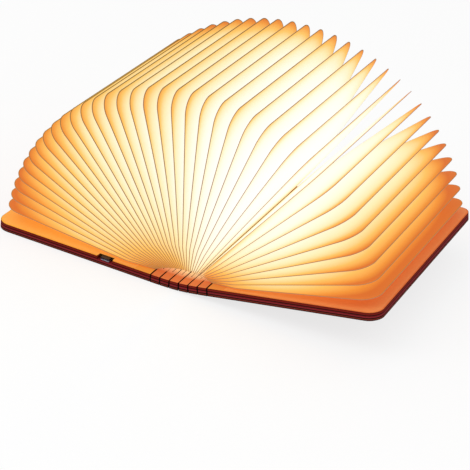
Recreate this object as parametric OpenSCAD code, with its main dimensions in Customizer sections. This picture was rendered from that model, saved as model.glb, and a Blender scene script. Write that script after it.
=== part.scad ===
// Folding book lamp: two laminated wooden covers, a slit-cut wooden spine that bends like a
// living hinge, and a fan of paper leaves that opens with the covers.
// X runs from the left cover to the right one, Y along the spine, Z up.
// The left cover lies flat on the table; the springy spine lifts the right one a little.

/* [Covers] */
// Length of the covers and of the spine, along Y
cover_len = 215; // [160:1:300]
// Width of one cover, from its spine edge to its fore-edge
cover_w = 146; // [110:1:200]
// Thickness of one of the two boards laminated into a cover
board_t = 3.5; // [3.2:0.1:6]
// Radius of the corners at the fore-edge
corner_r = 12; // [4:1:30]
// Angle by which the right cover is lifted off the table
lift = 11; // [0:1:20]

/* [Spine] */
// Number of slats in the spine
slat_count = 6; // [4:1:10]
// Distance from one open cut line to the next
slat_pitch = 8.4; // [7:0.1:12]
// Width of an open cut line
cut_w = 1.2; // [1.2:0.1:1.6]
// Depth of the bending line below the inner face
bend_depth = 1; // [0.6:0.1:1]
// How much more the middle cut lines bend than the outer ones
spine_curl = 6; // [0:1:8]
// Width of a closed slit along the middle of a slat
slit_w = 0.6; // [0.4:0.1:1]
// Length of wood left between the closed slits and at their ends
slit_land = 14; // [6:1:20]
// Length of the bridge that joins neighbouring slats across a cut line
bridge_len = 8; // [5:1:16]
// Gap left between a bridge and the next slat
bridge_gap = 0.1; // [0.05:0.05:0.3]
// The same gap at the middle cut line, where the two halves of the spine meet
middle_gap = 0.45; // [0.35:0.05:0.6]

/* [Paper leaves] */
// Number of leaves
leaf_count = 37; // [24:1:40]
// Length of the outermost leaves from root to fore-edge
leaf_w = 143.5; // [100:0.5:190]
// How much longer the middle leaf is
leaf_grow = 8; // [0:0.5:10]
// Thickness of a leaf, two sheets of paper pressed together
leaf_t = 0.4; // [0.3:0.05:0.5]
// Distance of a leaf's ends from the ends of the covers
leaf_inset = 3; // [2:0.5:10]
// Radius of a leaf's outer corners
leaf_r = 15; // [5:1:30]
// Length of the slanting stretch beside the root
root_taper = 24; // [10:1:40]
// Distance by which the root stops short of the leaf's own ends
root_inset = 6; // [2:1:20]
// Height of the root arch over the line between its ends
root_rise = 5; // [3:0.5:9]
// Gap between the first leaf's root and the level of the liner, and the same at the last leaf
root_clear = 0.3; // [0.2:0.05:0.6]
// Angle between the left cover and the first leaf
first_angle = 5; // [2:0.5:6]
// Angle between the last leaf and the right cover
last_angle = 3.5; // [2:0.5:5]
// How much closer together the leaves lie beside the left cover than beside the right one
fan_skew = 0.12; // [0:0.02:0.3]

/* [Liners] */
// Thickness of the paper glued to a cover's inner face
liner_t = 0.3; // [0.2:0.1:0.5]
// Width of the bare rim around a liner
liner_rim = 1.5; // [1.5:0.5:6]
// Distance of a liner from the spine edge of its cover
liner_from_spine = 14; // [13:1:30]

/* [Electronics] */
// Battery size along X
battery_w = 60; // [30:1:64]
// Battery size along Y
battery_len = 90; // [40:1:110]
// Battery thickness
battery_t = 3; // [2:0.1:3.2]
// Distance of the battery from the spine edge
battery_from_spine = 52; // [44:1:55]
// Circuit board size along X
circuit_w = 22; // [18:1:24]
// Circuit board size along Y
circuit_len = 26; // [20:1:28]
// Circuit board thickness
circuit_t = 0.8; // [0.6:0.1:1]
// Distance of the charging socket's middle from the spine edge
socket_from_spine = 42; // [34:1:60]
// Width of the notch in front of the charging socket
notch_w = 14; // [10:1:18]
// Depth of the notch in front of the circuit board
notch_depth = 5; // [3:0.5:6]
// Outer width of the charging socket's shell
socket_w = 7.6; // [7:0.1:9]
// Outer height of the charging socket's shell
socket_h = 2.4; // [2.2:0.1:2.5]
// Length of the charging socket's shell
socket_len = 6; // [5:0.5:8]
// Wall of the charging socket's shell
socket_wall = 0.35; // [0.25:0.05:0.5]
// Distance of the socket's mouth from the cover's edge
socket_setback = 1; // [0.5:0.5:3]
// Width of the light board
light_w = 6; // [5:0.5:7]
// Length of the light board
light_len = 170; // [120:1:190]
// Thickness of the light board
light_t = 0.8; // [0.6:0.1:1]
// Distance of the light board from the spine edge
light_from_spine = 4; // [3:0.5:5]
// Depth of the channel that holds the light board
light_channel_depth = 2; // [1.8:0.1:2.4]
// Number of light chips on the board
light_count = 14; // [6:1:20]
// Side of a light chip
chip_side = 3; // [2:0.1:4]
// Height of a light chip
chip_h = 0.7; // [0.5:0.1:0.9]
// Clearance around each piece let into a board
fit_gap = 0.3; // [0.2:0.05:0.5]
// Width of the wire channels between the pockets
wire_w = 3; // [2:0.5:5]
// Radius of a catch magnet
magnet_r = 5; // [3:0.5:7]
// Thickness of a catch magnet
magnet_t = 2; // [1:0.1:2.6]
// Distance of a catch magnet's middle from the fore-edge
magnet_from_fore = 14; // [12:1:20]
// Distance of a catch magnet's middle from the end of the cover
magnet_from_end = 30; // [20:1:50]

/* [Hidden] */
$fn = 64;
WOOD = "#6b2820";
WOOD_DARK = "#451713";
PAPER = "#ffd791";
LINER = "#e58a4a";
CIRCUIT = "#1f6b3a";
STEEL = "#c6c8ca";
eps = 0.01;

cover_t = 2 * board_t;
// Height of the bending lines over the outer face
axis_h = cover_t - bend_depth;
// Share of the whole half turn by which the spine is bent at rest
rest_bend = lift / 180;

// Weight of cut line i in the closed bend: a bell that is highest in the middle
function weight(i) = 1 + spine_curl * pow(sin(180 * (i + 0.5) / (slat_count + 1)), 4);
function weight_sum(i) = i < 0 ? 0 : weight_sum(i - 1) + weight(i);
// Slope of the slat after cut line i, at rest
function slope(i) = 180 * rest_bend * weight_sum(i) / weight_sum(slat_count);
// Bending line i as [x, z]
function bend_line(i) = i == 0
    ? [-slat_count * slat_pitch / 2, axis_h]
    : bend_line(i - 1) + slat_pitch * [cos(slope(i - 1)), sin(slope(i - 1))];

first_line = bend_line(0);
last_line = bend_line(slat_count);
x_left = first_line[0] - cut_w / 2 - cover_w;
x_right = last_line[0] + (cut_w / 2 + cover_w) * cos(lift) + axis_h * sin(lift);
// Shift that puts the origin under the middle of the open lamp
centre_x = -(x_left + x_right) / 2;

// The root arch: a parabola from the first leaf's root to the last one's
arch_height = bend_depth + liner_t + root_clear + leaf_t / 2;
arch_start = first_line + [0, arch_height];
arch_end = last_line + arch_height * [-sin(lift), cos(lift)];
arch_chord = arch_end - arch_start;
arch_up = [-arch_chord[1], arch_chord[0]] / norm(arch_chord);
function root_share(k) = (k - 1) / (leaf_count - 1);
// A hump that is 0 at the outermost leaves and 1 at the middle one
function hump(k) = 4 * root_share(k) * (1 - root_share(k));
function root(k) = arch_start + arch_chord * root_share(k) + arch_up * root_rise * hump(k);

// Angle of leaf k over the table, measured from +X
fan = 180 - lift - first_angle - last_angle;
function spread(u) = u - fan_skew * u * (1 - u);
function leaf_angle(k) = 180 - first_angle - fan * spread(root_share(k));

leaf_len = cover_len - 2 * leaf_inset;
leaf_names = [for (k = [1:leaf_count]) str("leaf_", k)];
slat_names = [for (i = [1:slat_count]) str("slat_", i)];

// Places a cover drawn with its spine edge on X = 0 and its outer face on Z = 0
module on_left_cover() {
    translate([centre_x + first_line[0] - cut_w / 2, 0, 0]) mirror([1, 0, 0]) children();
}

module on_right_cover() {
    translate([centre_x + last_line[0], 0, last_line[1]])
        rotate([0, -lift, 0]) translate([cut_w / 2, 0, -axis_h]) children();
}

// Outline of a sheet whose two corners away from the spine are rounded
module rounded_sheet(width, len, r) {
    translate([0, -len / 2]) square([width - r, len]);
    translate([0, -len / 2 + r]) square([width, len - 2 * r]);
    for (side = [-1, 1])
        translate([width - r, side * (len / 2 - r)]) circle(r);
}

// Bridges that reach from an edge on X = 0 over the cut line, from height z0 to z1
module bridges(z0, z1, gap = bridge_gap) {
    for (side = [-1, 1])
        translate([-eps, side * cover_len / 4 - bridge_len / 2, z0])
            cube([cut_w - gap + eps, bridge_len, z1 - z0]);
}

module cover_board() {
    linear_extrude(board_t) rounded_sheet(cover_w, cover_len, corner_r);
}

module magnet_place(side) {
    translate([cover_w - magnet_from_fore, side * (cover_len / 2 - magnet_from_end), board_t])
        children();
}

module magnet_pockets() {
    for (side = [-1, 1])
        magnet_place(side)
            translate([0, 0, -eps])
                cylinder(r = magnet_r + fit_gap, h = magnet_t + fit_gap + eps);
}

module magnet() {
    color(STEEL) cylinder(r = magnet_r, h = magnet_t);
}

// Where the magnetic switch sits, and its magnet over it when the book is shut
switch_side = 4;
switch_h = 1.2;
switch_from_edge = 2;
switch_from_end = 1;
switch_x = socket_from_spine + circuit_w / 2 - switch_side / 2 - switch_from_edge;
switch_y = -cover_len / 2 + notch_depth + circuit_len - switch_side / 2 - switch_from_end;

module switch_place() {
    translate([switch_x, switch_y, board_t]) children();
}

module left_outer_board() {
    color(WOOD) on_left_cover() {
        cover_board();
        mirror([1, 0, 0]) bridges(0, board_t);
    }
}

// Everything that is cut out of the left inner board, down to the outer one
module electronics_pockets() {
    through = board_t + 2 * eps;
    circuit_y = -cover_len / 2 + notch_depth;
    battery_y = -battery_len / 2;
    light_wire_y = circuit_y + circuit_len / 2;
    translate([0, 0, board_t - eps]) {
        translate([socket_from_spine - notch_w / 2, -cover_len / 2 - 1, 0])
            cube([notch_w, notch_depth + 1 + eps, through]);
        translate([socket_from_spine - circuit_w / 2 - fit_gap, circuit_y, 0])
            cube([circuit_w + 2 * fit_gap, circuit_len + fit_gap, through]);
        translate([battery_from_spine - fit_gap, battery_y - fit_gap, 0])
            cube([battery_w + 2 * fit_gap, battery_len + 2 * fit_gap, through]);
        // Wire channel from the circuit board to the battery
        translate([socket_from_spine, circuit_y + circuit_len - wire_w, 0])
            cube([battery_from_spine - socket_from_spine + wire_w, wire_w, through]);
        translate([battery_from_spine, circuit_y + circuit_len - wire_w, 0])
            cube([wire_w, battery_y - circuit_y - circuit_len + 2 * wire_w, through]);
        // Wire channel from the circuit board to the light board
        translate([light_from_spine + light_w / 2, light_wire_y, 0])
            cube([socket_from_spine - light_from_spine - light_w / 2, wire_w, through]);
    }
    translate([light_from_spine - fit_gap, -light_len / 2 - fit_gap, cover_t - light_channel_depth])
        cube([light_w + 2 * fit_gap, light_len + 2 * fit_gap, light_channel_depth + eps]);
}

module left_inner_board() {
    color(WOOD_DARK) on_left_cover() {
        difference() {
            translate([0, 0, board_t]) cover_board();
            magnet_pockets();
            electronics_pockets();
        }
        mirror([1, 0, 0]) bridges(board_t, axis_h - bridge_gap);
    }
}

module right_outer_board() {
    color(WOOD) on_right_cover() cover_board();
}

module right_inner_board() {
    color(WOOD_DARK) on_right_cover()
        difference() {
            translate([0, 0, board_t]) cover_board();
            magnet_pockets();
            switch_place() translate([0, 0, -eps])
                cylinder(r = magnet_r + fit_gap, h = magnet_t + fit_gap + eps);
        }
}

// Paper glued to the inner face of a cover; the left one leaves the socket's notch open
module liner() {
    translate([liner_from_spine, 0, cover_t])
        linear_extrude(liner_t)
            rounded_sheet(cover_w - liner_from_spine - liner_rim,
                cover_len - 2 * liner_rim, corner_r - liner_rim);
}

module left_liner() {
    color(LINER) on_left_cover()
        difference() {
            liner();
            translate([socket_from_spine - notch_w / 2, -cover_len / 2, cover_t - eps])
                cube([notch_w, notch_depth, liner_t + 2 * eps]);
        }
}

module right_liner() {
    color(LINER) on_right_cover() liner();
}

// A flat cell in a foil pouch, with the folded seam at its near end
module battery() {
    seam_len = 4;
    seam_t = 1;
    seam_side = 2;
    color("#b9bcc2") on_left_cover()
        translate([battery_from_spine, -battery_len / 2, board_t]) {
            translate([0, seam_len, 0]) cube([battery_w, battery_len - seam_len, battery_t]);
            translate([seam_side, 0, 0]) cube([battery_w - 2 * seam_side, seam_len + eps, seam_t]);
        }
}

// Charging and light-driving board, with its coil, two chips and the battery's plug
module circuit_board() {
    coil_r = 2.5;
    coil_h = 1.8;
    coil_at = [5, circuit_len / 2 + 2];
    charger_size = [4, 5, 1];
    charger_at = [10, circuit_len / 2 - 1];
    driver_size = [3, 3, 1];
    driver_at = [2, circuit_len / 2 - 5];
    plug_size = [4, 4, 1.6];
    plug_at = [8, circuit_len - 6];
    color(CIRCUIT) on_left_cover()
        translate([socket_from_spine - circuit_w / 2 + fit_gap,
                   -cover_len / 2 + notch_depth + fit_gap, board_t]) {
            cube([circuit_w - 2 * fit_gap, circuit_len - 2 * fit_gap, circuit_t]);
            translate([0, 0, circuit_t - eps]) {
                translate(coil_at) cylinder(r = coil_r, h = coil_h);
                translate(charger_at) cube(charger_size);
                translate(driver_at) cube(driver_size);
                translate(plug_at) cube(plug_size);
            }
        }
}

// Shell of the charging socket, open at its mouth, with the contact tongue inside
module usb_socket() {
    tongue_w = 4;
    tongue_t = 0.6;
    tongue_setback = 1;
    color(STEEL) on_left_cover()
        translate([socket_from_spine - socket_w / 2, -cover_len / 2 + socket_setback,
                   board_t + circuit_t]) {
            difference() {
                cube([socket_w, socket_len, socket_h]);
                translate([socket_wall, -eps, socket_wall])
                    cube([socket_w - 2 * socket_wall, socket_len - socket_wall,
                          socket_h - 2 * socket_wall]);
            }
            translate([(socket_w - tongue_w) / 2, tongue_setback, (socket_h - tongue_t) / 2])
                cube([tongue_w, socket_len - tongue_setback - eps, tongue_t]);
        }
}

module magnetic_switch() {
    color("#2b2b2d") on_left_cover() switch_place()
        translate([-switch_side / 2, -switch_side / 2, circuit_t])
            cube([switch_side, switch_side, switch_h]);
}

module light_board() {
    color("#f6f2e2") on_left_cover()
        translate([light_from_spine, -light_len / 2, cover_t - light_channel_depth]) {
            cube([light_w, light_len, light_t]);
            for (i = [0:light_count - 1])
                translate([(light_w - chip_side) / 2,
                           (i + 0.5) * light_len / light_count - chip_side / 2, light_t - eps])
                    cube([chip_side, chip_side, chip_h + eps]);
        }
}

// A slat drawn with its bending line on X = 0, Z = 0, and with bridges over the next cut line
module slat_solid(gap) {
    body_w = slat_pitch - cut_w;
    slit_len = cover_len / 2 - slit_land * 1.5;
    difference() {
        translate([cut_w / 2, -cover_len / 2, -axis_h]) cube([body_w, cover_len, cover_t]);
        for (side = [-1, 1])
            translate([slat_pitch / 2 - slit_w / 2,
                       side * (slit_land + slit_len) / 2 - slit_len / 2, -axis_h - eps])
                cube([slit_w, slit_len, cover_t + 2 * eps]);
    }
    translate([cut_w / 2 + body_w, 0, 0]) bridges(-axis_h, -bridge_gap, gap);
}

module slat(i) {
    line = bend_line(i - 1);
    gap = i == floor(slat_count / 2) ? middle_gap : bridge_gap;
    color(i % 2 == 0 ? WOOD : WOOD_DARK)
        translate([centre_x + line[0], 0, line[1]])
            rotate([0, -slope(i - 1), 0]) slat_solid(gap);
}

// Outline of a leaf: a slanting root, a straight middle and two round corners
module leaf_outline(width) {
    root_half = leaf_len / 2 - root_inset;
    polygon([[0, -root_half], [root_taper, -leaf_len / 2],
             [root_taper, leaf_len / 2], [0, root_half]]);
    translate([root_taper - eps, 0])
        rounded_sheet(width - root_taper + eps, leaf_len, leaf_r);
}

module leaf(k) {
    at = root(k);
    color(PAPER)
        translate([centre_x + at[0], 0, at[1]])
            rotate([0, -leaf_angle(k), 0])
                translate([0, 0, -leaf_t / 2])
                    linear_extrude(leaf_t) leaf_outline(leaf_w + leaf_grow * hump(k));
}

left_outer_board();
left_inner_board();
left_liner();
battery();
circuit_board();
usb_socket();
magnetic_switch();
light_board();
on_left_cover() magnet_place(-1) magnet();  // left_magnet_near
on_left_cover() magnet_place(1) magnet();  // left_magnet_far
right_outer_board();
right_inner_board();
right_liner();
on_right_cover() magnet_place(-1) magnet();  // right_magnet_near
on_right_cover() magnet_place(1) magnet();  // right_magnet_far
on_right_cover() switch_place() magnet();  // switch_magnet
for (i = [1:slat_count])
    slat(i);
for (k = [1:leaf_count])
    leaf(k);
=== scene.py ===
"""Looks of the folding book lamp, lit and open: laminated mahogany covers, a slit spine that
bends like a living hinge, and a fan of glowing paper leaves."""

import logging
import math
import random
from dataclasses import dataclass
from enum import Enum
from typing import Optional, Sequence, Union

import bmesh
import bpy
from mathutils import Matrix, Vector


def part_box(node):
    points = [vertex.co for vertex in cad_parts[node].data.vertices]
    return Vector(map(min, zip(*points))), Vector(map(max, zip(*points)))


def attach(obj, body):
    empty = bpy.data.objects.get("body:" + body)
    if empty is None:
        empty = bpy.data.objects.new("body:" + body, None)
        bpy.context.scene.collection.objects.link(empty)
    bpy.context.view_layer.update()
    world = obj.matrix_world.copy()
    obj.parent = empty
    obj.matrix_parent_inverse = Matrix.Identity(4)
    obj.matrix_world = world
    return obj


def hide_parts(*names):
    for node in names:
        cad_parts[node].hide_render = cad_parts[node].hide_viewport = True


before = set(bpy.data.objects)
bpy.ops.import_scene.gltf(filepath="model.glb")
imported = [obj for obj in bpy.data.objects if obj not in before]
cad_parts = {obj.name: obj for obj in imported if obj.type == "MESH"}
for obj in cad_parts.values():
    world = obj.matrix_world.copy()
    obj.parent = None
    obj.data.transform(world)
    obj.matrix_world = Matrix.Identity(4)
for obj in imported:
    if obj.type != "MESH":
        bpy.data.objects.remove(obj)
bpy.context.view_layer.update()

MM = 0.001
# Points closer than this are one point
WELD = 0.001 * MM
# Faces that meet at less than this angle are one flat face
FLAT_ANGLE = math.radians(1)
# Edges sharper than this are eased, with this many faces across the rounding
ARRIS_ANGLE = math.radians(35)
ARRIS_FACES = 2
# Nearly all values of a noise texture lie between these two
NOISE_RANGE = (0.3, 0.7)
NO_LIGHT = (0.0, 0.0, 0.0, 1.0)
WHITE = "#ffffff"
PHOTO_PIXELS = 470
SENSOR_WIDTH = 36.0
BOARD_PLACE = "board_place"
LEAF_PLACE = "leaf_place"
LEAF_WARMTH = "leaf_warmth"
LEAF_WALL = "leaf_wall"
LEAF_SEAM_GLOW = "leaf_seam_glow"

log = logging.getLogger("book_lamp")

Tree = bpy.types.NodeTree
Node = bpy.types.Node
Socket = bpy.types.NodeSocket
Sockets = bpy.types.bpy_prop_collection
Material = bpy.types.Material
Piece = bpy.types.Object
NodeValue = Union[Node, Socket, Material, float, Sequence[float]]


class Side(Enum):
    """The two covers of the lamp."""

    LEFT = "left"
    RIGHT = "right"


class LightFall(Enum):
    """Axis along which the lamp's light fades on an inner face."""

    ACROSS = "X"
    ALONG = "Y"


def linear(code: str) -> tuple[float, float, float, float]:
    """Turns an sRGB hex colour into linear values.

    Args:
        code: Colour as "#rrggbb".

    Returns:
        Linear red, green and blue, and 1 for opaque.
    """
    parts = [int(code[i:i + 2], 16) / 255 for i in (1, 3, 5)]
    red, green, blue = (
        c / 12.92 if c <= 0.04045 else ((c + 0.055) / 1.055) ** 2.4 for c in parts
    )
    return red, green, blue, 1.0


def add_node(
    tree: Tree,
    kind: str,
    *values: Optional[NodeValue],
    named: Optional[dict[str, NodeValue]] = None,
    stops: Sequence[tuple[float, str]] = (),
    **settings: object,
) -> Node:
    """Adds one node with its settings, and sets or links its inputs.

    Args:
        tree: Tree that the node goes into.
        kind: Blender's name of the node type.
        values: Values, nodes or sockets for the inputs in their order; None leaves one as it is.
        named: Values, nodes or sockets for inputs by name.
        stops: Positions and hex colours for a colour ramp.
        settings: Properties of the node itself.

    Returns:
        The new node.
    """
    made = tree.nodes.new(kind)
    for name, setting in settings.items():
        setattr(made, name, setting)
    free = [socket for socket in made.inputs if socket.enabled]
    wanted = [(socket, value) for socket, value in zip(free, values) if value is not None]
    for name, value in (named or {}).items():
        wanted.append((next(socket for socket in free if socket.name == name), value))
    for socket, value in wanted:
        if isinstance(value, Node):
            value = next(output for output in value.outputs if output.enabled)
        if isinstance(value, Socket):
            tree.links.new(value, socket)
        else:
            socket.default_value = value
    if stops:
        ramp = made.color_ramp.elements
        while len(ramp) < len(stops):
            ramp.new(1.0)
        for element, (position, code) in zip(ramp, stops):
            element.position = position
            element.color = linear(code)
    return made


def maths(tree: Tree, operation: str, *values: NodeValue) -> Node:
    """Adds a calculation on one to three values."""
    return add_node(tree, "ShaderNodeMath", *values, operation=operation)


def blend(
    tree: Tree, share: NodeValue, first: NodeValue, second: NodeValue, kind: str = "RGBA"
) -> Node:
    """Adds a blend of two colours, or of two numbers where kind is "FLOAT"."""
    return add_node(tree, "ShaderNodeMix", share, first, second, data_type=kind)


def mapped(
    tree: Tree, value: NodeValue, start: NodeValue, end: NodeValue,
    low: NodeValue = 0.0, high: NodeValue = 1.0,
) -> Node:
    """Adds a number that goes from low to high while a value goes from start to end."""
    return add_node(tree, "ShaderNodeMapRange", value, start, end, low, high)


def new_material(name: str) -> tuple[Material, Tree]:
    """Makes an empty node material.

    Args:
        name: Name of the finish.

    Returns:
        The material and its emptied node tree.
    """
    material = bpy.data.materials.new(name)
    material.use_nodes = True
    material.node_tree.nodes.clear()
    return material, material.node_tree


def finish_material(tree: Tree, surface: Node) -> None:
    """Links the last shader node to the material's output."""
    add_node(tree, "ShaderNodeOutputMaterial", surface)


def new_shape_tree(name: str, floats: Sequence[str], vectors: Sequence[str] = ()) -> Tree:
    """Makes an empty geometry node tree with named inputs and a material input.

    Args:
        name: Name of the tree.
        floats: Names of its number inputs.
        vectors: Names of its vector inputs.

    Returns:
        The tree.
    """
    tree = bpy.data.node_groups.new(name, "GeometryNodeTree")
    for kind, names in (("Float", floats), ("Vector", vectors), ("Material", ["Material"])):
        for given in names:
            tree.interface.new_socket(given, in_out="INPUT", socket_type=f"NodeSocket{kind}")
    tree.interface.new_socket("Shape", in_out="OUTPUT", socket_type="NodeSocketGeometry")
    return tree


def joined(tree: Tree, *shapes: Node) -> Node:
    """Adds a node that joins shapes into one.

    Args:
        tree: Tree that the node goes into.
        shapes: Nodes whose first output is a shape.

    Returns:
        The node with the whole.
    """
    whole = add_node(tree, "GeometryNodeJoinGeometry")
    for shape in shapes:
        tree.links.new(shape.outputs[0], whole.inputs[0])
    return whole


def thickened(tree: Tree, sheet: Node, thickness: NodeValue) -> tuple[Node, Socket]:
    """Raises a flat sheet into a closed solid.

    Args:
        tree: Tree that the nodes go into.
        sheet: The sheet, whose faces look up.
        thickness: Height of the solid.

    Returns:
        The node with the solid, and the socket that marks its walls.
    """
    rise = add_node(tree, "ShaderNodeCombineXYZ", 0.0, 0.0, thickness)
    raised = add_node(tree, "GeometryNodeExtrudeMesh", sheet, None, rise, 1.0, False)
    under = add_node(tree, "GeometryNodeFlipFaces", sheet)
    solid = joined(tree, raised, under)
    welded = add_node(tree, "GeometryNodeMergeByDistance", solid, None, WELD)
    return welded, raised.outputs["Side"]


def finish_shape(tree: Tree, shape: Node, material: Socket) -> None:
    """Realizes a shape, dresses it and links it to the tree's output.

    Args:
        tree: The geometry node tree.
        shape: The last node of the shape.
        material: The tree's material input.
    """
    real = add_node(tree, "GeometryNodeRealizeInstances", shape)
    dressed = add_node(tree, "GeometryNodeSetMaterial", real, None, material)
    add_node(tree, "NodeGroupOutput", dressed)


# Sizes of the lamp, the same as in the CAD part


@dataclass(frozen=True)
class LampSizes:
    """Sizes of the covers, the spine and the leaves, in metres and degrees."""

    cover_len: float = 215 * MM
    cover_w: float = 146 * MM
    board_t: float = 3.5 * MM
    lift: float = 11.0
    slat_count: int = 6
    slat_pitch: float = 8.4 * MM
    cut_w: float = 1.2 * MM
    bend_depth: float = 1.0 * MM
    # How much of the bend gathers in the middle of the spine
    spine_curl: float = 6.0
    slit_w: float = 0.6 * MM
    slit_land: float = 14.0 * MM
    bridge_len: float = 8.0 * MM
    bridge_gap: float = 0.1 * MM
    middle_gap: float = 0.45 * MM
    leaf_count: int = 37
    leaf_w: float = 143.5 * MM
    leaf_grow: float = 8.0 * MM
    leaf_t: float = 0.4 * MM
    leaf_inset: float = 3.0 * MM
    leaf_r: float = 15.0 * MM
    root_taper: float = 24.0 * MM
    root_inset: float = 6.0 * MM
    # Height of the low arch that the leaves' roots stand on, and their clearance at its ends
    root_rise: float = 5.0 * MM
    root_clear: float = 0.3 * MM
    # Angles between the outermost leaves and their covers, and how far the fan leans to the left
    first_angle: float = 5.0
    last_angle: float = 3.5
    fan_skew: float = 0.12
    liner_t: float = 0.3 * MM

    @property
    def cover_t(self) -> float:
        """Thickness of a whole cover."""
        return 2 * self.board_t

    @property
    def axis_h(self) -> float:
        """Height of the bending lines over the outer face."""
        return self.cover_t - self.bend_depth

    @property
    def leaf_len(self) -> float:
        """Length of a leaf along the spine."""
        return self.cover_len - 2 * self.leaf_inset


class Layout:
    """Places of the spine's bending lines and of the leaves at rest."""

    def __init__(self, sizes: LampSizes) -> None:
        """Works out the bending lines.

        Args:
            sizes: Sizes of the lamp.
        """
        self.sizes = sizes
        weights = [self.weight(i) for i in range(sizes.slat_count + 1)]
        share = sizes.lift / sum(weights)
        self.slopes = [math.radians(share * sum(weights[:i + 1])) for i in range(len(weights))]
        self.closed_bends = [math.pi * weight / sum(weights) for weight in weights]
        self.lines = [Vector((-sizes.slat_count * sizes.slat_pitch / 2, 0, sizes.axis_h))]
        for slope in self.slopes[:-1]:
            step = Vector((math.cos(slope), 0, math.sin(slope))) * sizes.slat_pitch
            self.lines.append(self.lines[-1] + step)
        reach = sizes.cut_w / 2 + sizes.cover_w
        lift = math.radians(sizes.lift)
        left_end = self.lines[0].x - reach
        right_end = self.lines[-1].x + reach * math.cos(lift) + sizes.axis_h * math.sin(lift)
        shift = Vector((-(left_end + right_end) / 2, 0, 0))
        self.lines = [line + shift for line in self.lines]

    def weight(self, line: int) -> float:
        """Weight of one bending line in the whole bend, highest in the middle of the spine."""
        turn = math.pi * (line + 0.5) / (self.sizes.slat_count + 1)
        return 1 + self.sizes.spine_curl * math.sin(turn) ** 4

    def hinge(self, line: int) -> Matrix:
        """Place of the piece after a bending line, whose own axes start on that line."""
        turn = Matrix.Rotation(-self.slopes[line], 4, "Y")
        return Matrix.Translation(self.lines[line]) @ turn

    def unrolled(self, line: int) -> Matrix:
        """Turns frame coordinates into those of the flat sheet the covers and spine are cut from.

        Args:
            line: Number of the bending line before the piece, or -1 for the left cover.

        Returns:
            Matrix from the frame to the flat sheet, whose zero is at the first bending line
            and at the outer face.
        """
        sizes = self.sizes
        if line < 0:
            return Matrix.Translation((-self.lines[0].x, 0, 0))
        along = Matrix.Translation((line * sizes.slat_pitch, 0, sizes.axis_h))
        return along @ self.hinge(line).inverted()

    def leaf_share(self, leaf: int) -> float:
        """Share of the fan that lies left of a leaf, from 0 to 1."""
        return (leaf - 1) / (self.sizes.leaf_count - 1)

    def hump(self, leaf: int) -> float:
        """A value that is 0 at the outermost leaves and 1 at the middle one."""
        share = self.leaf_share(leaf)
        return 4 * share * (1 - share)

    def leaf_place(self, leaf: int) -> Matrix:
        """Place of a leaf.

        Args:
            leaf: Number of the leaf, from 1.

        Returns:
            Matrix from the leaf's own axes, with its root on their Y axis, to the frame.
        """
        sizes = self.sizes
        height = sizes.bend_depth + sizes.liner_t + sizes.root_clear + sizes.leaf_t / 2
        lift = math.radians(sizes.lift)
        start = self.lines[0] + Vector((0, 0, height))
        end = self.lines[-1] + Vector((-math.sin(lift), 0, math.cos(lift))) * height
        chord = end - start
        up = Vector((-chord.z, 0, chord.x)).normalized()
        share = self.leaf_share(leaf)
        root = start + chord * share + up * sizes.root_rise * self.hump(leaf)
        fan = 180 - sizes.lift - sizes.first_angle - sizes.last_angle
        spread = share - sizes.fan_skew * share * (1 - share)
        angle = math.radians(180 - sizes.first_angle - fan * spread)
        return Matrix.Translation(root) @ Matrix.Rotation(-angle, 4, "Y")


# Helpers for meshes


def mesh_object(name: str, mesh: bpy.types.Mesh) -> Piece:
    """Makes an object at the origin for a mesh and puts it in the scene.

    Args:
        name: Name of the piece.
        mesh: Its mesh, already in place.

    Returns:
        The new object.
    """
    mesh.name = name
    made = bpy.data.objects.new(name, mesh)
    bpy.context.scene.collection.objects.link(made)
    return made


def bake_modifiers(piece: Piece) -> None:
    """Applies all modifiers of a piece to its mesh.

    Args:
        piece: The object to change.
    """
    bpy.context.view_layer.update()
    graph = bpy.context.evaluated_depsgraph_get()
    mesh = bpy.data.meshes.new_from_object(piece.evaluated_get(graph))
    piece.modifiers.clear()
    piece.data = mesh
    mesh.name = piece.name


def grown(name: str, tree: Tree, values: dict[str, object]) -> Piece:
    """Runs a geometry node tree once and keeps its result as a plain mesh.

    Args:
        name: Name of the piece.
        tree: The geometry node tree.
        values: Values of the tree's inputs, by name.

    Returns:
        The piece, without modifiers.
    """
    piece = mesh_object(name, bpy.data.meshes.new(name))
    modifier = piece.modifiers.new(name, "NODES")
    modifier.node_group = tree
    for item in tree.interface.items_tree:
        if item.item_type == "SOCKET" and item.in_out == "INPUT" and item.name in values:
            modifier[item.identifier] = values[item.name]
    bake_modifiers(piece)
    return piece


def soften_edges(piece: Piece, radius: float) -> None:
    """Rounds the sharp edges of a rigid piece a little and gives it smooth shading.

    Args:
        piece: The object to change.
        radius: Radius of the rounding in metres.
    """
    bevel = piece.modifiers.new("arris", "BEVEL")
    bevel.width = radius
    bevel.segments = ARRIS_FACES
    bevel.limit_method = "ANGLE"
    bevel.angle_limit = ARRIS_ANGLE
    bevel.use_clamp_overlap = False
    bevel.miter_outer = "MITER_ARC"
    piece.modifiers.new("flat faces stay flat", "WEIGHTED_NORMAL")
    piece.data.polygons.foreach_set("use_smooth", [True] * len(piece.data.polygons))
    bake_modifiers(piece)


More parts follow.
